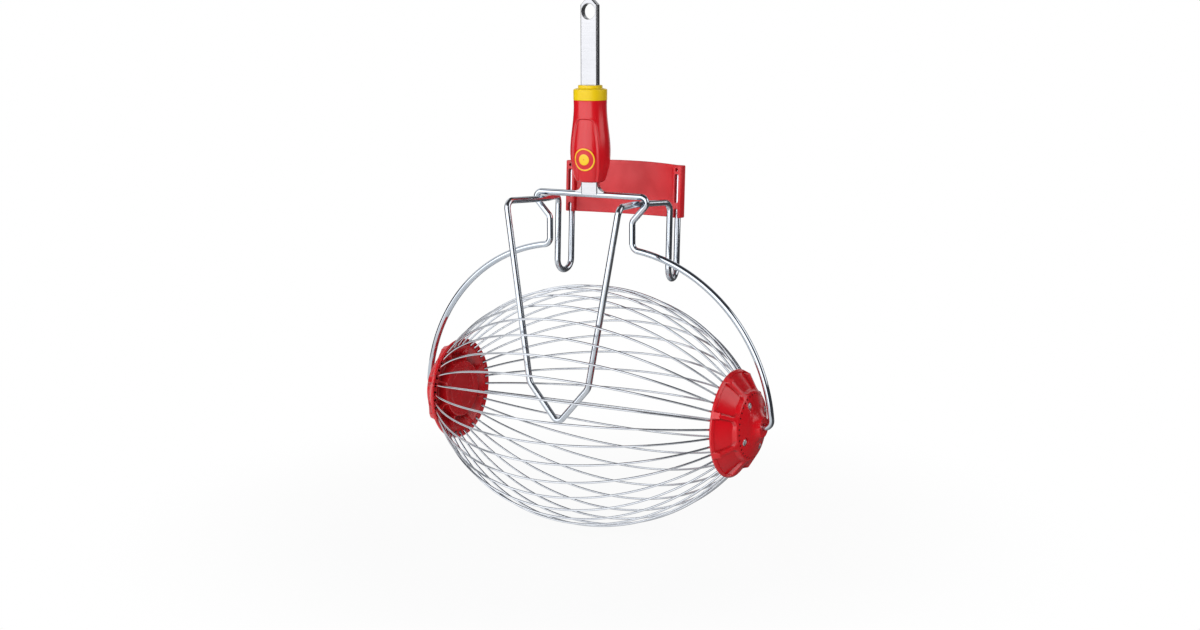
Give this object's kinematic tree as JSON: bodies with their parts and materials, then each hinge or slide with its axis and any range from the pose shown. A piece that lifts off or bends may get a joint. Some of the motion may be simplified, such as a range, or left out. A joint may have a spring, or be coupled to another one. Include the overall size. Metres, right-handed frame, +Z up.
{
  "type": "fruit collector",
  "caption": "Roller fruit collector head: ball-shaped basket of spring wires turning in a wire bow under a plug-in tang grip, with a wire emptying bracket parked on the bow.",
  "frame": {"origin": "point of the ground under the middle of the basket, where the middle of the lowest wires touches", "axes": "+Z up along the tang, +X along the roll axis to the right as seen from the front, -Y the front"},
  "size_m": [0.3826, 0.2302, 0.4983],
  "materials": {
    "tang_steel": "bright zinc plate",
    "bright_wire": "bright zinc plate",
    "spring_wire": "drawn spring wire",
    "screw_steel": "bright zinc plate",
    "clip_steel": "spring steel",
    "grip_red": "fine moulded satin",
    "hub_red": "moulded gloss",
    "core_red": "moulded gloss",
    "plate_red": "fine moulded satin",
    "collar_yellow": "moulded satin",
    "badge_yellow": "moulded satin"
  },
  "bodies": {
    "handle": {"tang": "tang_steel", "tang_weld": "tang_steel", "grip": "grip_red", "grip_badge": "badge_yellow", "collar": "collar_yellow", "bow": "bright_wire", "axle_clip_left": "clip_steel", "axle_clip_right": "clip_steel"},
    "basket": {"hub_cover_left": "hub_red", "hub_cover_right": "hub_red", "hub_core_left": "core_red", "hub_core_right": "core_red", "hub_screws_left": "screw_steel", "hub_screws_right": "screw_steel", "basket_wire_01": "spring_wire", "basket_wire_02": "spring_wire", "basket_wire_03": "spring_wire", "basket_wire_04": "spring_wire", "basket_wire_05": "spring_wire", "basket_wire_06": "spring_wire", "basket_wire_07": "spring_wire", "basket_wire_08": "spring_wire", "basket_wire_09": "spring_wire", "basket_wire_10": "spring_wire", "basket_wire_11": "spring_wire", "basket_wire_12": "spring_wire", "basket_wire_13": "spring_wire", "basket_wire_14": "spring_wire", "basket_wire_15": "spring_wire", "basket_wire_16": "spring_wire", "basket_wire_17": "spring_wire", "basket_wire_18": "spring_wire", "basket_wire_19": "spring_wire", "basket_wire_20": "spring_wire", "basket_wire_21": "spring_wire", "basket_wire_22": "spring_wire", "basket_wire_23": "spring_wire", "basket_wire_24": "spring_wire", "basket_wire_25": "spring_wire", "basket_wire_26": "spring_wire", "basket_wire_27": "spring_wire", "basket_wire_28": "spring_wire", "basket_wire_29": "spring_wire", "basket_wire_30": "spring_wire", "basket_wire_31": "spring_wire", "basket_wire_32": "spring_wire", "basket_wire_33": "spring_wire", "basket_wire_34": "spring_wire", "basket_wire_35": "spring_wire", "basket_wire_36": "spring_wire"},
    "bracket": {"bracket_wire": "bright_wire", "backing_plate": "plate_red"}
  },
  "joints": [
    {"name": "basket_roll", "type": "hinge", "parent": "handle", "child": "basket", "pos_m": [0, 0, 0.11515], "axis": [1, 0, 0], "continuous": true},
    {"name": "bracket_rock", "type": "hinge", "parent": "handle", "child": "bracket", "pos_m": [0, 0, 0.3113], "axis": [1, 0, 0], "range_deg": [-1.2, 2.8]}
  ]
}
